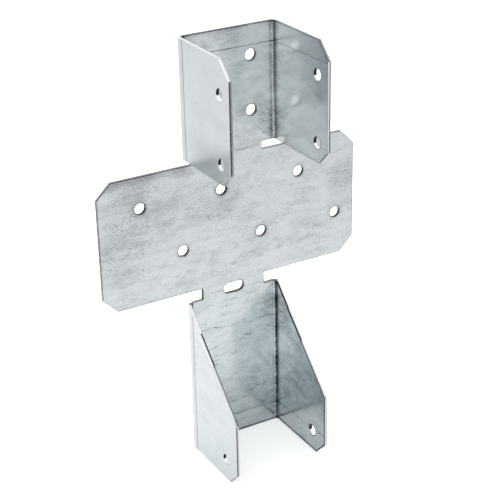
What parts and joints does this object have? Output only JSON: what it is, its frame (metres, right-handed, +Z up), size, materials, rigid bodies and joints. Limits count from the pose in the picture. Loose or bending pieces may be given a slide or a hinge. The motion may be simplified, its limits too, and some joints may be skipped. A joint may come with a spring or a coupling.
{
  "type": "joist hanger",
  "caption": "Folded sheet steel bracket: a flat bolted wing plate with a channel above and a tapered channel below, both open to the front to hold a square post.",
  "frame": {"origin": "middle of the flat back's bottom edge, in the plane of the back", "axes": "+X across the wing plate, +Y out of the flat back towards what it is bolted to, +Z up from the tapered channel to the square channel"},
  "size_m": [0.26, 0.089, 0.4],
  "materials": {
    "galvanised_steel": "continuously hot-dip galvanised, faint spangle, satin"
  },
  "bodies": {
    "root": {"hanger": "galvanised_steel"}
  },
  "joints": []
}
